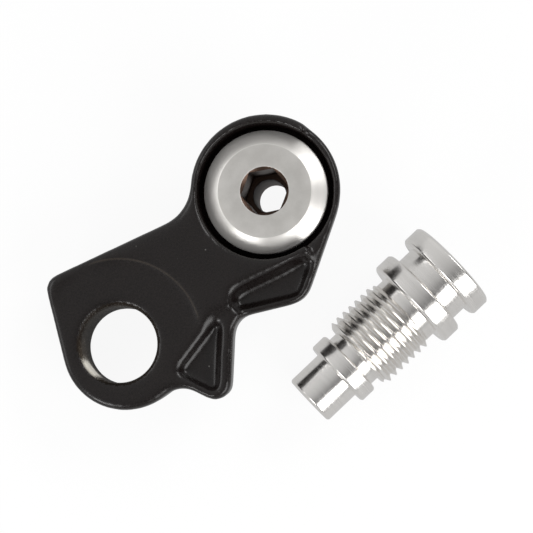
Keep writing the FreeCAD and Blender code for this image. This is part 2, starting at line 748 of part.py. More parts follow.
def table_normal():
    """Upward normal, in the bracket's frame, of the table that the hanger lies on.

    It rests on the bolt's tip, the upper left corner and the foot of the lobe.
    """
    slope = math.tan(math.radians(size("draft_angle")))
    back = size("back_round")
    inset = size("plate_thick") * slope - back * slope + back / math.cos(math.radians(size("draft_angle")))
    corner = [piece for piece in bracket_outline() if piece[0] == "arc"][2]
    tip_height = face_height() - size("bolt_long")
    normal = Vector(-0.2, -0.1, 1.0).normalize()
    for attempt in range(60):
        tip = support((0.0, 0.0), size("shank_radius") - size("tip_chamfer"), tip_height, 0.0, normal)
        left = support(corner[2], size("corner_round") - inset, 0.0, back, normal)
        foot = support(lobe_centre(), size("lobe_radius") - inset, 0.0, back, normal)
        normal = (left - tip).cross(foot - tip).normalize()
        if normal.z < 0:
            normal = normal * -1
    return normal, tip


def lying_placement():
    """Placement that lays the hanger on the table, with its own X along the row's X."""
    normal, contact = table_normal()
    across = (Vector(1, 0, 0) - normal * normal.x).normalize()
    turn = Rotation(across, normal.cross(across), normal, "XYZ").inverted()
    return Placement(Vector(0, 0, -contact.dot(normal)), turn)


def axle_placement():
    """Placement of the axle bolt, lying on its flange and on the front of its thread."""
    end, pilot, collar, relief, thread, runout, flange, groove, head = axle_stations()
    front = relief + size("thread_chamfer")
    back = runout + size("flange_chamfer")
    lean = math.atan2(size("flange_radius") - size("thread_radius"), back - front)
    level = math.cos(lean)
    turn = math.radians(size("axle_angle"))
    axis = Vector(level * math.cos(turn), level * math.sin(turn), math.sin(lean))
    height = size("flange_radius") * level - back * math.sin(lean)
    middle = Vector(size("axle_x"), size("axle_y"), height + 0.5 * head * math.sin(lean))
    return Placement(middle - axis * (0.5 * head), Rotation(Vector(0, 0, 1), axis))


bracket = build_bracket()
frame_bolt = build_frame_bolt()
retaining_ring = build_ring()
axle_bolt = build_axle_bolt()

hanger = lying_placement()
for body in (bracket, frame_bolt, retaining_ring):
    body.Placement = hanger
axle_bolt.Placement = axle_placement()
document.recompute()

# The set's middle goes to the origin and its lowest point to the table.
pieces = (bracket, frame_bolt, retaining_ring, axle_bolt)
boxes = [body.Shape.optimalBoundingBox() for body in pieces]
middle_x = (min(box.XMin for box in boxes) + max(box.XMax for box in boxes)) / 2
middle_y = (min(box.YMin for box in boxes) + max(box.YMax for box in boxes)) / 2
shift = Vector(-middle_x, -middle_y, -min(box.ZMin for box in boxes))
for body in pieces:
    body.Placement = Placement(body.Placement.Base + shift, body.Placement.Rotation)
document.recompute()

for feature in document.Objects:
    if "Invalid" in feature.State or "Error" in feature.State:
        raise RuntimeError(feature.Label + " failed")

os.makedirs("parts", exist_ok=True)
for body in pieces:
    if body.Shape.isNull() or not body.Shape.isValid() or len(body.Shape.Solids) != 1:
        raise RuntimeError(body.Label + " is not one sound solid")
    body.Shape.exportStep("parts/" + body.Label + ".step")
    box = body.Shape.optimalBoundingBox()
    print(body.Label, "volume %.1f" % body.Shape.Volume, "z %.3f to %.3f" % (box.ZMin, box.ZMax))
print("hanger placement", hanger.Base + shift, hanger.Rotation.Q)
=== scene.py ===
# %% [markdown]
# # Derailleur hanger
# A black forged bracket that bolts to a bicycle frame and carries the rear derailleur.
# A hollow frame bolt sits in its eye, and its axle bolt lies beside it on the table.
# The solids come from the CAD model. This lesson cuts real threads on the two bolts,
# rounds the edges of the forging, gives every surface a finish,
# and sets up the table, the light and the camera.

import json
import math

import bmesh
import bpy
from mathutils import Matrix, Vector


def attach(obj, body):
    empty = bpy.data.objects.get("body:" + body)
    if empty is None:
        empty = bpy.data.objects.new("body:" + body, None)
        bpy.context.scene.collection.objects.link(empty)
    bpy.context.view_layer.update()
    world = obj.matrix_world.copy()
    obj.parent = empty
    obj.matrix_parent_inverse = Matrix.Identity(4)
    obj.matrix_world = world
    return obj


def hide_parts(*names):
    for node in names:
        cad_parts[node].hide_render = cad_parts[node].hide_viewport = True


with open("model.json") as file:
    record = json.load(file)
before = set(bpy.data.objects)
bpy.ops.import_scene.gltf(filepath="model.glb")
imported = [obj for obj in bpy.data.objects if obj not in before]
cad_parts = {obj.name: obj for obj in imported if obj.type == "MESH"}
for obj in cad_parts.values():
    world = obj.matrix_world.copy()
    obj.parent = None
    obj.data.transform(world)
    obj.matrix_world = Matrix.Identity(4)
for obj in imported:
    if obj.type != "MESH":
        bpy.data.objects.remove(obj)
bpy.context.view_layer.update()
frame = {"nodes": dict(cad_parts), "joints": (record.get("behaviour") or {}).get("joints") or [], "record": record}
nodes = frame["nodes"]
mm = 0.001
scene = bpy.context.scene
scene.view_settings.view_transform = "Standard"
print("nodes:", sorted(nodes))

# %% [markdown]
# ## Where the two bolts stand
# The hanger lies tilted on the table, on the tip of its bolt and two of its corners.
# The model's only joint turns about the frame bolt, so its axis and its origin
# give the bolt's own frame. The axle bolt lies on its flange and on the front of its thread,
# so it leans a few degrees, and the record states its thread as a pin,
# with the middle of the thread and the direction of the axis.
# Each bolt is drawn upright about its own Z axis, and one matrix then lays it in place.

# %% Frames of the eye, the derailleur hole and the axle bolt
axle_thread_start, axle_thread_end = 8.02, 15.57


def upright_frame(axis, origin):
    """Frame with Z along an axis and X to the right, as the photograph shows it."""
    up = Vector(axis).normalized()
    across = Vector((up.z, 0.0, -up.x)).normalized()
    place = Matrix((across, up.cross(across), up)).transposed().to_4x4()
    place.translation = Vector(origin)
    return place


joint = frame["joints"][0]
mounts = {mount["name"]: mount for mount in frame["record"]["mounts"]}
hole, axle_thread = mounts["derailleur_bore"], mounts["axle_thread"]
eye_frame = upright_frame(joint["axis"], joint["pos_m"])
hole_frame = upright_frame(hole["axis"], hole["pos_m"])
hole_radius = hole["dims"]["r_mm"] * mm
thread_middle = 0.5 * (axle_thread_start + axle_thread_end) * mm
axle_axis = -Vector(axle_thread["axis"]).normalized()
axle_frame = Vector((0.0, 0.0, 1.0)).rotation_difference(axle_axis).to_matrix().to_4x4()
axle_frame.translation = Vector(axle_thread["pos_m"]) - axle_axis * thread_middle
print("eye axis:", [round(v, 4) for v in joint["axis"]])
print("axle axis:", [round(v, 4) for v in axle_axis])

# %% [markdown]
# ## Turning on a lathe
# Both bolts are turned parts, so a profile of radius and height is swept round the axis,
# as a lathe does it. A screw modifier could sweep it too, but the hex socket and the thread
# need a radius that changes with the angle, so the rings are made one by one.
# No turned edge is perfectly sharp: each corner of the profile is eased by a hair,
# which gives the thin bright lines seen on real turned steel.

# %% Rings, bands between rings, and eased corners
around = 180
corner_share = 0.35
first_angle = 0.0  # every ring starts here; each bolt sets it to a corner of its hex socket


def ring_angle(step):
    return first_angle + 2.0 * math.pi * step / around


def turned_point(work, radius, angle, height):
    """A point at a radius, an angle and a height. Both lengths are in mm."""
    x, y = radius * math.cos(angle), radius * math.sin(angle)
    return work.verts.new((x * mm, y * mm, height * mm))


def make_ring(work, radius, height):
    """One ring of points. Radius and height are numbers in mm or functions of the angle."""
    ring = []
    for step in range(around):
        angle = ring_angle(step)
        r = radius(angle) if callable(radius) else radius
        z = height(angle) if callable(height) else height
        ring.append(turned_point(work, r, angle, z))
    return ring


def make_band(work, lower, upper, finish):
    """Faces between two rings, with the material number of their finish."""
    for step in range(around):
        after = (step + 1) % around
        face = work.faces.new((lower[step], lower[after], upper[after], upper[step]))
        face.material_index = finish


def eased(profile, ease):
    """The profile with each inner corner replaced by three points of a small arc."""
    points = [profile[0]]
    for before, corner, after in zip(profile, profile[1:], profile[2:]):
        before, corner, after = Vector(before), Vector(corner), Vector(after)
        shorter = min((corner - before).length, (after - corner).length)
        cut = min(ease, corner_share * shorter)
        start = corner + (before - corner).normalized() * cut
        end = corner + (after - corner).normalized() * cut
        middle = (start + 2.0 * corner + end) / 4.0
        points += [tuple(start), tuple(middle), tuple(end)]
    points.append(profile[-1])
    return points


def turn_profile(work, profile, finish, ease=0.06):
    """Sweeps a profile of (radius, height) round the axis."""
    rings = [make_ring(work, radius, height) for radius, height in eased(profile, ease)]
    for lower, upper in zip(rings, rings[1:]):
        make_band(work, lower, upper, finish)


print("points on a ring:", around)

# %% [markdown]
# ## A real thread
# Both bolts carry an M10 x 1 thread: a ridge that climbs 1 mm a turn, with flanks at 60 degrees.
# A bump texture would leave the outline smooth, and the outline is where a thread shows most.
# So the ridge is a ribbon of faces that follows the helix, several faces across each turn.
# At both ends, its height is cut down to the root along a chamfer,
# so the ribbon closes to a plain ring that meets the next turned band.

# %% Thread ribbon
pitch, thread_crest, thread_root = 1.0, 5.0, 4.39
half_ridge = [(0.000, thread_crest), (0.062, thread_crest), (0.110, 4.93),
              (0.240, 4.705), (0.370, 4.48), (0.430, 4.40)]
other_half = [(1.0 - share, radius) for share, radius in reversed(half_ridge[1:])]
thread_form = half_ridge + [(0.500, thread_root)] + other_half
no_height = 1e-9


def cut_thread(work, bottom, top, finish, bottom_slope, top_slope):
    """Right-hand thread between two heights. The slopes say how fast each end rises."""
    turns = int(math.ceil((top - bottom) / pitch)) + 2
    rows = []
    for step in range(turns * around + around + 1):
        angle = ring_angle(step)
        climb = bottom - 2.0 * pitch + pitch * step / around
        row = []
        for share, radius in thread_form:
            height = min(max(climb + share * pitch, bottom), top)
            rise = min((height - bottom) * bottom_slope, (top - height) * top_slope)
            row.append(turned_point(work, min(radius, thread_root + rise), angle, height))
        rows.append(row)
    for step in range(turns * around):
        here, ahead = rows[step], rows[step + 1]
        # the last strip of a turn meets the first strip of the turn above
        above_here = here[1:] + rows[step + around][:1]
        above_ahead = ahead[1:] + rows[step + around + 1][:1]
        for corners in zip(here, ahead, above_ahead, above_here):
            heights = [corner.co.z for corner in corners]
            if max(heights) - min(heights) > no_height:
                work.faces.new(corners).material_index = finish
    loose = [corner for row in rows for corner in row if not corner.link_faces]
    bmesh.ops.delete(work, geom=loose, context="VERTS")


print("points across a turn of the thread:", len(thread_form))

# %% [markdown]
# ## The hex socket
# A 5 mm key drives each bolt. The socket is pressed with a hex punch into a countersunk hole,
# which leaves six scallops where the flats run out into the countersink.
# They could be cut with a boolean. With a radius that depends on the angle they come by themselves:
# each point of the hexagon stops at the height where the cone has the same radius.

# %% Hexagon as a radius that changes with the angle
hex_flats, socket_mouth = 5.0, 2.94


def hex_radius(first_corner):
    """Radius of a hexagon in any direction. One corner is at the given angle in degrees."""
    def radius(angle):
        off = (angle - math.radians(first_corner)) % math.radians(60.0) - math.radians(30.0)
        return 0.5 * hex_flats / math.cos(off)
    return radius


def scallop_height(edge, face):
    """Height where the hexagon's edge meets the 45 degree countersink of a face."""
    def height(angle):
        return face - (socket_mouth - edge(angle))
    return height


print("countersink in mm:", 2.0 * socket_mouth)

# %% [markdown]
# ## From bands to one solid
# A bolt is one closed body, but the bands only touch each other along their rings.
# They could stay like that and look right. But loose bands have no inside,
# so their points are welded, and a count of open edges shows whether the body is closed.
# The solid then rides on a body of the model and stands for the plain bolt of the CAD model.

# %% Close a turned solid
weld, sliver, sharp_angle = 1e-7, 1e-8, math.radians(33.0)


def close_solid(work, name, place, finishes, body, node):
    """Welds the bands, makes the object, lays it in place and lets it stand for its CAD node."""
    bmesh.ops.remove_doubles(work, verts=work.verts, dist=weld)
    bmesh.ops.dissolve_degenerate(work, edges=work.edges, dist=sliver)
    bmesh.ops.recalc_face_normals(work, faces=work.faces)
    open_edges = sum(1 for edge in work.edges if len(edge.link_faces) != 2)
    work.transform(place)
    mesh = bpy.data.meshes.new(name)
    work.to_mesh(mesh)
    work.free()
    mesh.shade_smooth()
    mesh.set_sharp_from_angle(angle=sharp_angle)
    for finish in finishes:
        mesh.materials.append(finish)
    piece = bpy.data.objects.new(name, mesh)
    scene.collection.objects.link(piece)
    bpy.context.view_layer.update()
    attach(piece, body)
    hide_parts(node)
    print(name, "faces:", len(mesh.polygons), "open edges:", open_edges)


# %% [markdown]
# ## Shared surface effects
# Three effects come back on several surfaces, so each one is a node group with named sockets.
# Blasted grain is the fine pebbled skin that bead blasting leaves on the forging and the bolt's face.
# Turning marks are the fine rings that the lathe tool leaves: they depend only on the distance
# from the axis and on the height along it, so they run round the part on every face.
# Handling marks are small pale specks and faint smudges,
# which keep large plain areas from looking like plastic.
# Pictures could show all three, but noise that is worked out on the spot has no seams
# and stays sharp from near by.

# %% Node helpers
def start_group(name, inputs, outputs):
    """Empty shader node group with float or vector sockets. Inputs are (name, kind, default)."""
    group = bpy.data.node_groups.new(name, "ShaderNodeTree")
    for label, kind, default in inputs:
        socket = group.interface.new_socket(label, in_out="INPUT", socket_type=kind)
        if default is not None:
            socket.default_value = default
    for label in outputs:
        group.interface.new_socket(label, in_out="OUTPUT", socket_type="NodeSocketFloat")
    return group, group.nodes.new("NodeGroupInput"), group.nodes.new("NodeGroupOutput")


def fill_input(tree, socket, value):
    """A number goes into the socket as it is; another node's result is linked to it."""
    if isinstance(value, (int, float)):
        socket.default_value = value
    else:
        tree.links.new(value, socket)


def math_node(tree, operation, first, second=None, third=None, clamp=False):
    """A math node whose inputs are sockets or numbers, and its result."""
    node = tree.nodes.new("ShaderNodeMath")
    node.operation = operation
    node.use_clamp = clamp
    for place, value in enumerate((first, second, third)):
        if value is not None:
            fill_input(tree, node.inputs[place], value)
    return node.outputs["Value"]


def noise_node(tree, vector, scale, detail, roughness):
    """Soft noise between 0 and 1."""
    node = tree.nodes.new("ShaderNodeTexNoise")
    node.inputs["Detail"].default_value = detail
    node.inputs["Roughness"].default_value = roughness
    tree.links.new(vector, node.inputs["Vector"])
    fill_input(tree, node.inputs["Scale"], scale)
    return node.outputs["Fac"]


def remap(tree, value, old, new=(0.0, 1.0), curve="LINEAR"):
    """A value between two old limits, carried over to two new ones."""
    node = tree.nodes.new("ShaderNodeMapRange")
    node.interpolation_type = curve
    for side, limits in (("From", old), ("To", new)):
        node.inputs[side + " Min"].default_value = limits[0]
        node.inputs[side + " Max"].default_value = limits[1]
    tree.links.new(value, node.inputs["Value"])
    return node.outputs["Result"]


# %% Blasted grain
blasted_grain, come, go = start_group(
    "blasted_grain",
    [("Vector", "NodeSocketVector", None), ("Grains per metre", "NodeSocketFloat", 9000.0)],
    ["Grain", "Mottle"],
)
vector, scale = come.outputs["Vector"], come.outputs["Grains per metre"]
fine = noise_node(blasted_grain, vector, scale, detail=2.0, roughness=0.6)
wide_scale = math_node(blasted_grain, "MULTIPLY", scale, 0.06)
wide = noise_node(blasted_grain, vector, wide_scale, detail=3.0, roughness=0.55)
blasted_grain.links.new(remap(blasted_grain, fine, (0.3, 0.7)), go.inputs["Grain"])
blasted_grain.links.new(remap(blasted_grain, wide, (0.35, 0.65)), go.inputs["Mottle"])
print("group:", blasted_grain.name)


# %% Turning marks
def round_axis(tree, vector):
    """X, Y and Z of a place, and its distance from the Z axis."""
    parts = tree.nodes.new("ShaderNodeSeparateXYZ")
    tree.links.new(vector, parts.inputs["Vector"])
    x, y, z = (parts.outputs[label] for label in "XYZ")
    squares = [math_node(tree, "MULTIPLY", side, side) for side in (x, y)]
    return x, y, z, math_node(tree, "SQRT", math_node(tree, "ADD", *squares))


turning_marks, come, go = start_group(
    "turning_marks",
    [("Vector", "NodeSocketVector", None), ("Marks per metre", "NodeSocketFloat", 8000.0)],
    ["Rings", "Bands"],
)
scale, drift = come.outputs["Marks per metre"], 0.04 * mm
x, y, z, reach = round_axis(turning_marks, come.outputs["Vector"])
sweep = math_node(turning_marks, "ARCTAN2", y, x)
join = turning_marks.nodes.new("ShaderNodeCombineXYZ")
turning_marks.links.new(reach, join.inputs["X"])
turning_marks.links.new(z, join.inputs["Y"])
turning_marks.links.new(math_node(turning_marks, "MULTIPLY", sweep, drift), join.inputs["Z"])
ring_place = join.outputs["Vector"]
rings = noise_node(turning_marks, ring_place, scale, detail=3.0, roughness=0.6)
band_scale = math_node(turning_marks, "MULTIPLY", scale, 0.12)
bands = noise_node(turning_marks, ring_place, band_scale, detail=2.0, roughness=0.5)
turning_marks.links.new(remap(turning_marks, rings, (0.3, 0.7)), go.inputs["Rings"])
turning_marks.links.new(remap(turning_marks, bands, (0.3, 0.7)), go.inputs["Bands"])
print("group:", turning_marks.name)

# %% Handling marks
handling_marks, come, go = start_group(
    "handling_marks",
    [("Vector", "NodeSocketVector", None), ("Specks per metre", "NodeSocketFloat", 700.0)],
    ["Specks", "Smudge"],
)
vector, scale = come.outputs["Vector"], come.outputs["Specks per metre"]
cells = handling_marks.nodes.new("ShaderNodeTexVoronoi")
handling_marks.links.new(vector, cells.inputs["Vector"])
handling_marks.links.new(scale, cells.inputs["Scale"])
speck = remap(handling_marks, cells.outputs["Distance"], (0.03, 0.07), (1.0, 0.0))
cell_parts = handling_marks.nodes.new("ShaderNodeSeparateColor")
handling_marks.links.new(cells.outputs["Color"], cell_parts.inputs["Color"])
chosen = math_node(handling_marks, "GREATER_THAN", cell_parts.outputs["Red"], 0.8)
specks = math_node(handling_marks, "MULTIPLY", speck, chosen, clamp=True)
smudge_scale = math_node(handling_marks, "MULTIPLY", scale, 0.35)
smudge = noise_node(handling_marks, vector, smudge_scale, detail=4.0, roughness=0.6)
handling_marks.links.new(specks, go.inputs["Specks"])
handling_marks.links.new(remap(handling_marks, smudge, (0.4, 0.7)), go.inputs["Smudge"])
print("group:", handling_marks.name)


# %% Material helpers
def coordinates_in(tree, place):
    """Coordinates in metres in the given frame."""
    spot = tree.nodes.new("ShaderNodeTexCoord")
    into = tree.nodes.new("ShaderNodeMapping")
    into.vector_type = "TEXTURE"
    into.inputs["Location"].default_value = place.translation
    into.inputs["Rotation"].default_value = place.to_euler()
    tree.links.new(spot.outputs["Object"], into.inputs["Vector"])
    return into.outputs["Vector"]


def start_finish(name, place):
    """New material with a Principled shader, its tree, and coordinates in the given frame."""
    finish = bpy.data.materials.new(name)
    finish.use_nodes = True
    tree = finish.node_tree
    return finish, tree, tree.nodes["Principled BSDF"], coordinates_in(tree, place)


def place_group(tree, group, vector, **values):
    """Puts a node group into a tree, fills its inputs and returns its outputs."""
    node = tree.nodes.new("ShaderNodeGroup")
    node.node_tree = group
    tree.links.new(vector, node.inputs["Vector"])
    for label, number in values.items():
        node.inputs[label.replace("_", " ")].default_value = number
    return node.outputs


def blend_colour(tree, factor, first, second):
    """Mix of two colours by a factor. A colour is three numbers or another node's result."""
    node = tree.nodes.new("ShaderNodeMix")
    node.data_type = "RGBA"
    tree.links.new(factor, node.inputs["Factor"])
    for label, colour in (("A", first), ("B", second)):
        socket = [s for s in node.inputs if s.name == label and s.type == "RGBA"][0]
        if isinstance(colour, tuple):
            socket.default_value = (*colour, 1.0)
        else:
            tree.links.new(colour, socket)
    return [s for s in node.outputs if s.type == "RGBA"][0]


def raise_bumps(tree, shader, height, strength, distance):
    """Bump from a height, as a normal for the shader."""
    node = tree.nodes.new("ShaderNodeBump")
    node.inputs["Strength"].default_value = strength
    node.inputs["Distance"].default_value = distance
    tree.links.new(height, node.inputs["Height"])
    tree.links.new(node.outputs["Normal"], shader.inputs["Normal"])


# %% [markdown]
# ## Black forging
# The bracket is forged aluminium, bead-blasted and anodised black:
# deep black with a warm cast, satin, faintly grainy. A plain dark colour would look like plastic.
# Here the grain moves the roughness and lifts a fine bump,
# the mottle shifts the colour between two blacks, and a few specks catch the light.
# Round the derailleur hole, a milling cutter has faced the forging. The rounded edge of the step where it ended
# catches the light, and that highlight is painted as a faint pale line, a part of a circle about the axis of the
# hole.

# %% Black forging finish
forging_black, tree, shader, where = start_finish("forging_black", eye_frame)
grain = place_group(tree, blasted_grain, where, Grains_per_metre=4500.0)
marks = place_group(tree, handling_marks, where, Specks_per_metre=600.0)
black, warm_black = (0.0030, 0.0019, 0.0017), (0.0046, 0.0030, 0.0027)
colour = blend_colour(tree, grain["Mottle"], black, warm_black)
pale_grain = math_node(tree, "MULTIPLY", grain["Grain"], 0.6)
colour = blend_colour(tree, pale_grain, colour, (0.0130, 0.0094, 0.0088))
colour = blend_colour(tree, marks["Specks"], colour, (0.10, 0.095, 0.09))
rough = math_node(tree, "MULTIPLY_ADD", grain["Grain"], 0.08, 0.25)
tree.links.new(rough, shader.inputs["Roughness"])
shader.inputs["Specular IOR Level"].default_value = 0.38
raise_bumps(tree, shader, grain["Grain"], strength=0.20, distance=0.01 * mm)
print("finish:", forging_black.name)

# %% Painted highlight along the cutter's step
cutter_radius, cutter_bearing = 10.1 * mm, math.radians(64.0)
cutter_frame = hole_frame @ Matrix.Rotation(cutter_bearing, 4, "Z")
inward, _, _, reach = round_axis(tree, coordinates_in(tree, cutter_frame))
off_line = math_node(tree, "ABSOLUTE", math_node(tree, "SUBTRACT", reach, cutter_radius))
step_highlight = remap(tree, off_line, (0.04 * mm, 0.16 * mm), (0.5, 0.0))
within = remap(tree, inward, (6.6 * mm, 7.4 * mm))
step_highlight = math_node(tree, "MULTIPLY", step_highlight, within)
# The pale line is a painted highlight on the rounded edge of the faced step.
colour = blend_colour(tree, step_highlight, colour, (0.040, 0.031, 0.023))
tree.links.new(colour, shader.inputs["Base Color"])
print("line of the cutter in mm from the axis:", round(cutter_radius / mm, 2))

# %% [markdown]
# ## Wall of the derailleur hole, with a painted highlight
# The derailleur's bolt turns in this hole, and the black on its wall is dull brown.
# On one side a bright highlight is painted into its colour, with a browner painted sheen round it higher up.
# The marks could be painted by hand, but on a plain cylinder a few numbers place them as well.
# The hole's own frame is turned to face the painted highlight: an angle and a height then say
# how near a point lies to it, and the distance from the axis ends the marks before the rounded rim.

# %% Painted highlight and sheen on the wall
highlight_bearing = math.radians(-140.0)
highlight_frame = hole_frame @ Matrix.Rotation(highlight_bearing, 4, "Z")
bore_brown_and_highlight, tree, shader, where = start_finish("bore_brown_and_highlight", highlight_frame)
grain = place_group(tree, blasted_grain, where, Grains_per_metre=8000.0)
x, y, z, reach = round_axis(tree, where)
bearing = math_node(tree, "ARCTAN2", y, x)


def near(value, centre, spread):
    """One at a centre, falling softly to nothing at a spread on both sides."""
    off = math_node(tree, "ABSOLUTE", math_node(tree, "SUBTRACT", value, centre))
    return remap(tree, off, (0.0, spread), (1.0, 0.0), "SMOOTHERSTEP")


def facing(angle, spread):
    """The same for an angle in degrees from the painted highlight, with a narrower peak."""
    fall = near(bearing, math.radians(angle), math.radians(spread))
    return math_node(tree, "MULTIPLY", fall, fall)


marks_end = (hole_radius + 0.08 * mm, hole_radius + 0.34 * mm)
on_wall = remap(tree, reach, marks_end, (1.0, 0.0))
# A bright patch is painted here as the wall's highlight, and a browner sheen is painted round it higher up.
at_highlight = facing(angle=0.0, spread=36.0)
at_height = near(z, centre=2.2 * mm, spread=3.6 * mm)
painted_highlight = math_node(tree, "MULTIPLY", at_highlight, at_height)
uneven = remap(tree, grain["Grain"], (0.0, 1.0), (-0.22, 0.22))
painted_highlight = remap(tree, math_node(tree, "ADD", painted_highlight, uneven), (0.12, 0.62))
painted_highlight = math_node(tree, "MULTIPLY", painted_highlight, on_wall)
patchy = remap(tree, grain["Grain"], (0.2, 0.9), (0.0, 0.7))
high_up = remap(tree, z, (-2.4 * mm, 1.4 * mm))
around_highlight = facing(angle=-8.0, spread=70.0)
painted_sheen = math_node(tree, "MULTIPLY", around_highlight, patchy)
painted_sheen = math_node(tree, "MULTIPLY", painted_sheen, math_node(tree, "MULTIPLY", high_up, on_wall))
print("wall in mm from the axis:", round(hole_radius / mm, 2))

# %% Bore finish with the painted highlight
colour = blend_colour(tree, grain["Mottle"], (0.010, 0.0075, 0.0058), (0.016, 0.012, 0.009))
# The painted sheen and the painted highlight go into the colour; the highlight also gets a little metal and less
# roughness.
colour = blend_colour(tree, painted_sheen, colour, (0.13, 0.10, 0.07))
colour = blend_colour(tree, painted_highlight, colour, (0.95, 0.90, 0.80))
tree.links.new(colour, shader.inputs["Base Color"])
tree.links.new(math_node(tree, "MULTIPLY", painted_highlight, 0.3), shader.inputs["Metallic"])
shader.inputs["Specular IOR Level"].default_value = 0.08
rough = remap(tree, reach, (hole_radius, hole_radius + 0.25 * mm), (0.60, 0.36))
rough = math_node(tree, "SUBTRACT", rough, math_node(tree, "MULTIPLY", painted_highlight, 0.2))
tree.links.new(rough, shader.inputs["Roughness"])
raise_bumps(tree, shader, grain["Grain"], strength=0.35, distance=0.01 * mm)
print("finish:", bore_brown_and_highlight.name)

# %% [markdown]
# ## Steel finishes
# The frame bolt's flat face is bead-blasted to a soft pale grey, and its cone is turned,
# so the two catch light differently. Its shank and thread are turned steel, a little darker.
# The axle bolt is bright turned steel with clear reflections.
# Inside the sockets and the bores, the steel keeps the dark brown skin of its heat treatment.
# Each could be a material of its own, but turned steel differs only in a few numbers,
# so one function makes all of it.

# %% Blasted face, turned steel, dark socket, spring steel
def blasted_steel(name, place, pale, deep):
    """Steel with a bead-blasted skin."""
    finish, tree, shader, where = start_finish(name, place)
    grain = place_group(tree, blasted_grain, where, Grains_per_metre=11000.0)
    marks = place_group(tree, handling_marks, where, Specks_per_metre=900.0)
    colour = blend_colour(tree, grain["Mottle"], deep, pale)
    tree.links.new(colour, shader.inputs["Base Color"])
    shader.inputs["Metallic"].default_value = 0.8
    rough = math_node(tree, "MULTIPLY_ADD", grain["Grain"], 0.10, 0.46)
    rough = math_node(tree, "ADD", rough, math_node(tree, "MULTIPLY", marks["Smudge"], 0.05))
    tree.links.new(rough, shader.inputs["Roughness"])
    raise_bumps(tree, shader, grain["Grain"], strength=0.30, distance=0.008 * mm)
    return finish


def turned_steel(name, place, pale, deep, roughness, marks_per_metre, depth, metal=1.0):
    """Steel with the rings of the lathe tool."""
    finish, tree, shader, where = start_finish(name, place)
    rings = place_group(tree, turning_marks, where, Marks_per_metre=marks_per_metre)
    marks = place_group(tree, handling_marks, where, Specks_per_metre=900.0)
    colour = blend_colour(tree, rings["Bands"], deep, pale)
    tree.links.new(colour, shader.inputs["Base Color"])
    shader.inputs["Metallic"].default_value = metal
    rough = math_node(tree, "MULTIPLY_ADD", rings["Rings"], 0.10, roughness)
    rough = math_node(tree, "ADD", rough, math_node(tree, "MULTIPLY", marks["Smudge"], 0.06))
    tree.links.new(rough, shader.inputs["Roughness"])
    raise_bumps(tree, shader, rings["Rings"], strength=depth, distance=0.006 * mm)
    return finish


brown, deep_brown = (0.085, 0.055, 0.042), (0.045, 0.029, 0.022)
bolt_face = blasted_steel("bolt_face_blasted", eye_frame, (0.59, 0.575, 0.55), (0.54, 0.525, 0.50))
bolt_cone = turned_steel("bolt_cone_turned", eye_frame, (0.78, 0.76, 0.73), (0.71, 0.69, 0.66),
                         roughness=0.32, marks_per_metre=9000.0, depth=0.12, metal=0.6)
bolt_socket = turned_steel("bolt_socket_brown", eye_frame, brown, deep_brown,
                           roughness=0.34, marks_per_metre=5000.0, depth=0.35)
bolt_bore = turned_steel("bolt_bore_drilled", eye_frame, (0.085, 0.062, 0.052), (0.06, 0.043, 0.036),
                         roughness=0.55, marks_per_metre=5000.0, depth=0.35, metal=0.4)
bolt_thread = turned_steel("bolt_thread_steel", eye_frame, (0.62, 0.605, 0.585), (0.54, 0.53, 0.51),
                           roughness=0.24, marks_per_metre=7000.0, depth=0.25)
ring_spring = turned_steel("ring_spring_steel", eye_frame, (0.36, 0.35, 0.34), (0.26, 0.25, 0.24),
                           roughness=0.34, marks_per_metre=6000.0, depth=0.3)
axle_bright = turned_steel("axle_bright_turned", axle_frame, (0.89, 0.87, 0.845), (0.82, 0.80, 0.775),
                           roughness=0.15, marks_per_metre=9000.0, depth=0.22)
axle_socket = turned_steel("axle_socket_brown", axle_frame, brown, deep_brown,
                           roughness=0.34, marks_per_metre=5000.0, depth=0.35)
bolt_finishes = [bolt_face, bolt_cone, bolt_socket, bolt_bore, bolt_thread]
axle_finishes = [axle_bright, axle_socket]
print("finishes:", [m.name for m in (*bolt_finishes, ring_spring, *axle_finishes)])

# %% [markdown]
# ## Frame bolt
# The hollow bolt that holds the hanger to the frame. Its flat face and cone fill the recess
# of the eye, a snap ring in the groove keeps it captive, and its thread stands out behind the seat.
# It could be put together from cylinders and cones, but a lathe makes it in one closed run,
# and so does this cell: out from the socket, over the face and the cone,
# down the shank and back up the bore.

# %% Sizes of the frame bolt, in mm from the start of its thread
face_height, cone_foot, head_foot, groove_top, thread_top = 7.2, 5.86, 4.5, 1.1, 0.0
tip_height, thread_bottom, socket_floor = -5.6, -5.5, 1.4
face_radius, head_radius, shank_radius, groove_radius = 5.57, 7.4, 5.0, 4.5
tip_radius, bore_radius = 4.3, 2.0
lip, head_chamfer, bore_chamfer, floor_chamfer = 0.03, 0.3, 0.15, 0.1
rim_width, rim_drop, foot_width, foot_rise = 0.09, 0.045, 0.06, 0.105
socket_corner = 10.0
face_part, cone_part, socket_part, bore_part, thread_part = range(len(bolt_finishes))
print("length in mm:", round(face_height - tip_height, 2))

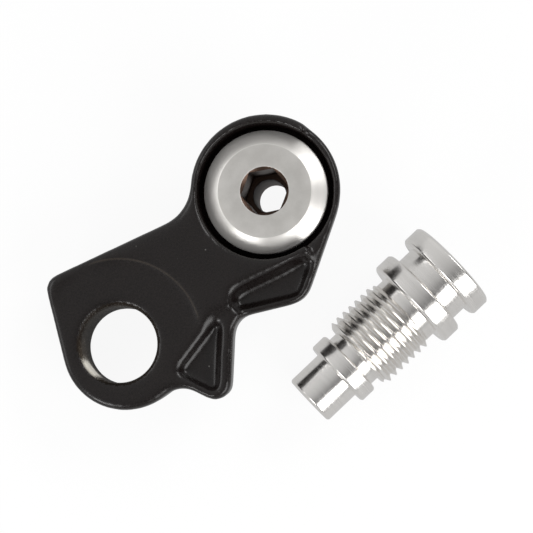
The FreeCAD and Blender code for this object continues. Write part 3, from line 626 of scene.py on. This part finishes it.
# %% Turn the frame bolt
first_angle = math.radians(socket_corner)
socket_edge = hex_radius(socket_corner)
work = bmesh.new()
floor_ring = make_ring(work, socket_edge, socket_floor)
scallop_ring = make_ring(work, socket_edge, scallop_height(socket_edge, face_height))
mouth_ring = make_ring(work, socket_mouth - lip, face_height - lip)
bore_ring = make_ring(work, bore_radius + floor_chamfer, socket_floor)
make_band(work, floor_ring, scallop_ring, socket_part)
make_band(work, scallop_ring, mouth_ring, socket_part)
make_band(work, bore_ring, floor_ring, socket_part)
face = [(socket_mouth - lip, face_height - lip), (socket_mouth + lip, face_height),
        (face_radius, face_height)]
cone = [(face_radius, face_height), (face_radius + rim_width, face_height - rim_drop),
        (head_radius - foot_width, cone_foot + foot_rise), (head_radius, cone_foot),
        (head_radius, head_foot + head_chamfer), (head_radius - head_chamfer, head_foot)]
shank = [(head_radius - head_chamfer, head_foot), (shank_radius, head_foot),
         (shank_radius, groove_top), (groove_radius, groove_top),
         (groove_radius, thread_top), (thread_root, thread_top)]
tip = [(thread_root, thread_bottom), (tip_radius, tip_height),
       (bore_radius + bore_chamfer, tip_height)]
bore = [(bore_radius + bore_chamfer, tip_height), (bore_radius, tip_height + bore_chamfer),
        (bore_radius, socket_floor - floor_chamfer), (bore_radius + floor_chamfer, socket_floor)]
turn_profile(work, face, face_part, ease=0.02)
turn_profile(work, cone, cone_part, ease=0.05)
turn_profile(work, shank, thread_part, ease=0.05)
cut_thread(work, thread_bottom, thread_top, thread_part, bottom_slope=1.2, top_slope=2.5)
turn_profile(work, tip, thread_part, ease=0.03)
turn_profile(work, bore, bore_part, ease=0.03)
close_solid(work, "frame_bolt_threaded", eye_frame, bolt_finishes, "bolt", "frame_bolt")

# %% [markdown]
# ## Axle bolt
# The bolt that the derailleur turns on: pilot, collar, thread,
# then a flange and a head with a groove between them.
# It is one turned profile again, and the collar, the flange and the head repeat one form,
# a disc with the chamfers that the lathe left, so a small function gives it.
# The far end has a hex socket for the same key.

# %% Sizes of the axle bolt, in mm from the front of its pilot
drill_radius, drill_depth, drill_chamfer, drill_edge = 2.2, 5.0, 0.2, 0.12
pilot_radius, pilot_tip, pilot_end, small_chamfer = 3.297, 3.078, 4.62, 0.22
collar_radius, collar_end, relief_radius, runout_radius = 4.42, 6.82, 3.66, 4.43
flange_start, flange_end, head_start, head_end = 16.82, 19.35, 21.65, 24.18
flange_radius, flange_chamfer, neck_radius = 6.1, 0.28, 4.75
key_floor, key_point, key_corner = 20.18, 19.78, 0.0
hair = 0.003  # the widest turns stay this much under the CAD, so the dressed part keeps in its box
bright_part, inside_part = range(len(axle_finishes))


def disc(radius, low, high, chamfer, under=0.0):
    """Profile of a disc with chamfered rims."""
    return [(radius - chamfer, low), (radius - under, low + chamfer),
            (radius - under, high - chamfer), (radius - chamfer, high)]


print("length in mm:", head_end)

# %% Turn the axle bolt
first_angle = math.radians(key_corner)
key_edge = hex_radius(key_corner)
work = bmesh.new()
drilled = [(0.0, drill_depth), (drill_radius - drill_chamfer, drill_depth),
           (drill_radius, drill_depth - drill_chamfer), (drill_radius, drill_edge)]
front = [(drill_radius, drill_edge), (drill_radius + drill_edge, 0.0), (pilot_tip, 0.0),
         (pilot_radius, small_chamfer), (pilot_radius, pilot_end),
         *disc(collar_radius, pilot_end, collar_end, small_chamfer),
         (relief_radius, collar_end), (relief_radius, axle_thread_start),
         (thread_root, axle_thread_start)]
rear = [(thread_root, axle_thread_end), (runout_radius, axle_thread_end),
        (runout_radius, flange_start),
        *disc(flange_radius, flange_start, flange_end, flange_chamfer, hair),
        (neck_radius, flange_end), (neck_radius, head_start),
        *disc(flange_radius, head_start, head_end, flange_chamfer, hair),
        (socket_mouth, head_end)]
turn_profile(work, drilled, inside_part, ease=0.05)
turn_profile(work, front, bright_part)
cut_thread(work, axle_thread_start, axle_thread_end, bright_part, bottom_slope=1.3, top_slope=1.3)
turn_profile(work, rear, bright_part)
mouth_ring = make_ring(work, socket_mouth, head_end)
scallop_ring = make_ring(work, key_edge, scallop_height(key_edge, head_end))
floor_ring = make_ring(work, key_edge, key_floor)
middle_ring = make_ring(work, 0.0, key_point)
make_band(work, mouth_ring, scallop_ring, inside_part)
make_band(work, scallop_ring, floor_ring, inside_part)
make_band(work, floor_ring, middle_ring, inside_part)
close_solid(work, "axle_bolt_threaded", axle_frame, axle_finishes, "hanger", "axle_bolt")

# %% [markdown]
# ## Finishes on the CAD pieces
# The bracket and the snap ring keep their CAD shape and take a finish.
# A forging has no sharp edge: the steel dies have rounded corners, and blasting takes off the rest.
# Edges could be rounded one by one with a bevel, but where a slope runs out into a flat
# or two pockets nearly meet, a bevel tears. So a fine voxel skin is laid over the bracket and smoothed,
# which rounds every edge alike. The skin has new faces, so a small node tree then gives
# the bore's finish, with its painted highlight, to those that lie close to the hole's axis.

# %% Finish the bracket and the ring
for node, finish in (("bracket", forging_black), ("retaining_ring", ring_spring)):
    nodes[node].data.materials.clear()
    nodes[node].data.materials.append(finish)
bracket = nodes["bracket"]
bracket.data.materials.append(bore_brown_and_highlight)
print("finishes of the bracket:", [m.name for m in bracket.data.materials])

# %% Rounded skin of the forging
skin = bracket.modifiers.new("forged_skin", "REMESH")
skin.mode = "VOXEL"
skin.voxel_size = 0.24 * mm
skin.use_smooth_shade = True
rounding = bracket.modifiers.new("rounded_edges", "SMOOTH")
rounding.factor = 0.5
rounding.iterations = 48
print("voxels in mm:", round(skin.voxel_size / mm, 3))


# %% Bore finish with the painted highlight, on the wall of the hole
def vector_node(tree, operation, first, second=None):
    """A vector node from a socket and a fixed vector."""
    node = tree.nodes.new("ShaderNodeVectorMath")
    node.operation = operation
    tree.links.new(first, node.inputs[0])
    if second is not None:
        node.inputs[1].default_value = second
    return node.outputs


wall_reach, bore_wall_number = hole_radius + 0.4 * mm, 1
wall_finish = bpy.data.node_groups.new("hole_wall_finish", "GeometryNodeTree")
wall_finish.is_modifier = True
for way in ("INPUT", "OUTPUT"):
    wall_finish.interface.new_socket("Geometry", in_out=way, socket_type="NodeSocketGeometry")
come = wall_finish.nodes.new("NodeGroupInput")
go = wall_finish.nodes.new("NodeGroupOutput")
spot = wall_finish.nodes.new("GeometryNodeInputPosition")
into_bracket = bracket.matrix_world.inverted()
middle = into_bracket @ hole_frame.translation
axis = into_bracket.to_3x3() @ Vector(hole["axis"])
arm = vector_node(wall_finish, "SUBTRACT", spot.outputs["Position"], middle)["Vector"]
across = vector_node(wall_finish, "CROSS_PRODUCT", arm, axis)["Vector"]
reach = vector_node(wall_finish, "LENGTH", across)["Value"]
close = math_node(wall_finish, "LESS_THAN", reach, wall_reach)
give = wall_finish.nodes.new("GeometryNodeSetMaterialIndex")
give.inputs["Material Index"].default_value = bore_wall_number
wall_finish.links.new(come.outputs["Geometry"], give.inputs["Geometry"])
wall_finish.links.new(close, give.inputs["Selection"])
wall_finish.links.new(give.outputs["Geometry"], go.inputs["Geometry"])
bracket.modifiers.new("hole_wall_finish", "NODES").node_group = wall_finish
skinned = bracket.evaluated_get(bpy.context.evaluated_depsgraph_get()).data
print("faces of the skin:", len(skinned.polygons))
# Material number one is the bore finish with its painted highlight and sheen.
print("faces of the worn bore:", sum(face.material_index for face in skinned.polygons))

# %% [markdown]
# ## Table and light
# The photograph shows the set on pure white, with only a soft shadow round it.
# A matt white table would turn grey away from the lamps. So the table shines by itself
# where the camera sees it, a little less in the metal's reflections,
# and a small share of matt white takes the shadow.
# The light could be one even white sky, but then the steel would have no shape.
# It is a tent that is pale at the upper left and dim towards the lower right,
# with four soft boxes that draw the bright lines on the steel and along the black edges.

# %% Table
table_size, table_drop = 4.0, 0.02 * mm
shine_share, mirror_dim = 0.92, 0.40
bpy.ops.mesh.primitive_plane_add(size=table_size, location=(0.0, 0.0, -table_drop))
table = bpy.context.object
table.name = "table"
table_white = bpy.data.materials.new("table_white")
table_white.use_nodes = True
tree = table_white.node_tree
tree.nodes.clear()
out = tree.nodes.new("ShaderNodeOutputMaterial")
matt = tree.nodes.new("ShaderNodeBsdfDiffuse")
matt.inputs["Color"].default_value = (0.9, 0.9, 0.9, 1.0)
glow = tree.nodes.new("ShaderNodeEmission")
path = tree.nodes.new("ShaderNodeLightPath")
mirrored = path.outputs["Is Glossy Ray"]
seen = math_node(tree, "MAXIMUM", path.outputs["Is Camera Ray"], path.outputs["Is Transmission Ray"])
share = math_node(tree, "MAXIMUM", math_node(tree, "MULTIPLY", seen, shine_share), mirrored)
dimmer = math_node(tree, "MULTIPLY", mirrored, mirror_dim)
tree.links.new(math_node(tree, "SUBTRACT", 1.0, dimmer), glow.inputs["Strength"])
mix = tree.nodes.new("ShaderNodeMixShader")
tree.links.new(share, mix.inputs["Fac"])
tree.links.new(matt.outputs["BSDF"], mix.inputs[1])
tree.links.new(glow.outputs["Emission"], mix.inputs[2])
tree.links.new(mix.outputs["Shader"], out.inputs["Surface"])
table.data.materials.append(table_white)
print("table in m:", table_size)

# %% Tent
tent_levels = ((0.0, 0.70), (0.20, 0.64), (0.40, 0.53), (0.52, 0.42),
               (0.62, 0.26), (0.70, 0.12), (0.78, 0.15), (1.0, 0.46))
slope_x, slope_y, slope_middle = 0.349, -0.358, 0.5
tent = bpy.data.worlds.new("tent")
scene.world = tent
tent.use_nodes = True
tree = tent.node_tree
tree.nodes.clear()
out = tree.nodes.new("ShaderNodeOutputWorld")
tent_light = tree.nodes.new("ShaderNodeBackground")
white = tree.nodes.new("ShaderNodeBackground")
white.inputs["Strength"].default_value = 1.0
where = tree.nodes.new("ShaderNodeTexCoord")
parts = tree.nodes.new("ShaderNodeSeparateXYZ")
tree.links.new(where.outputs["Generated"], parts.inputs["Vector"])
ramp = tree.nodes.new("ShaderNodeValToRGB")
steps = ramp.color_ramp.elements
for place, _ in tent_levels[1:-1]:
    steps.new(place)
for step, (_, level) in zip(steps, tent_levels):
    step.color = (level, level, level, 1.0)
along_x = math_node(tree, "MULTIPLY", parts.outputs["X"], slope_x)
along_y = math_node(tree, "MULTIPLY", parts.outputs["Y"], slope_y)
slope = math_node(tree, "ADD", along_x, along_y)
tree.links.new(math_node(tree, "ADD", slope, slope_middle), ramp.inputs["Fac"])
tree.links.new(ramp.outputs["Color"], tent_light.inputs["Color"])
path = tree.nodes.new("ShaderNodeLightPath")
mix = tree.nodes.new("ShaderNodeMixShader")
tree.links.new(path.outputs["Is Camera Ray"], mix.inputs["Fac"])
tree.links.new(tent_light.outputs["Background"], mix.inputs[1])
tree.links.new(white.outputs["Background"], mix.inputs[2])
tree.links.new(mix.outputs["Shader"], out.inputs["Surface"])
print("steps of the tent:", [round(step.position, 2) for step in steps])


# %% Soft boxes
def soft_box(name, bearing, elevation, distance, wide, tall, radiance):
    """Area lamp aimed at the set. Bearing is in degrees from +X towards +Y; radiance 1 is white."""
    lamp = bpy.data.lights.new(name, "AREA")
    lamp.shape = "RECTANGLE"
    lamp.size, lamp.size_y = wide, tall
    lamp.energy = radiance * math.pi * wide * tall
    holder = bpy.data.objects.new(name, lamp)
    scene.collection.objects.link(holder)
    turn, lift = math.radians(bearing), math.radians(elevation)
    level = math.cos(lift)
    way = Vector((math.cos(turn) * level, math.sin(turn) * level, math.sin(lift)))
    holder.location = way * distance
    holder.rotation_mode = "QUATERNION"
    holder.rotation_quaternion = way.to_track_quat("Z", "Y")
    print(name, "power:", round(lamp.energy, 3))


soft_box("box_lower_right", bearing=-48.0, elevation=36.0, distance=0.6,
         wide=0.46, tall=0.38, radiance=4.5)
soft_box("box_lower_left", bearing=234.0, elevation=20.0, distance=0.6,
         wide=0.24, tall=0.18, radiance=9.0)
soft_box("box_left", bearing=172.0, elevation=15.0, distance=0.6,
         wide=0.60, tall=0.24, radiance=1.8)
soft_box("box_upper_right", bearing=42.0, elevation=40.0, distance=0.7,
         wide=0.40, tall=0.20, radiance=6.5)

# %% [markdown]
# ## Camera
# The photograph was taken from about 28 cm with a long lens, nearly straight down.
# A camera could be aimed by eye. Here the place, the turn and the lens come from fitting
# the outline of the CAD model to the photograph, so the two can be laid over each other.

# %% Camera
photo_place = Vector((-32.839, -38.758, 288.343)) * mm
photo_right = Vector((0.99323, 0.00716, 0.11594))
photo_up = Vector((-0.02291, 0.99057, 0.13507))
photo_back = photo_right.cross(photo_up)
look = bpy.data.cameras.new("photo_camera")
look.sensor_width = 36.0
look.lens = 160.18
look.clip_start, look.clip_end = 0.01, 10.0
camera = bpy.data.objects.new("photo_camera", look)
scene.collection.objects.link(camera)
turned = Matrix((photo_right, photo_up, photo_back)).transposed()
camera.rotation_mode = "QUATERNION"
camera.rotation_quaternion = turned.to_quaternion()
camera.location = photo_place
scene.camera = camera
print("camera looks along:", [round(-v, 3) for v in photo_back])

# %% [markdown]
# ## Last update
# The view layer is updated once more at the end. The dressed
# part has to stay inside the box of the CAD model.

# %% Update the view layer
bpy.context.view_layer.update()
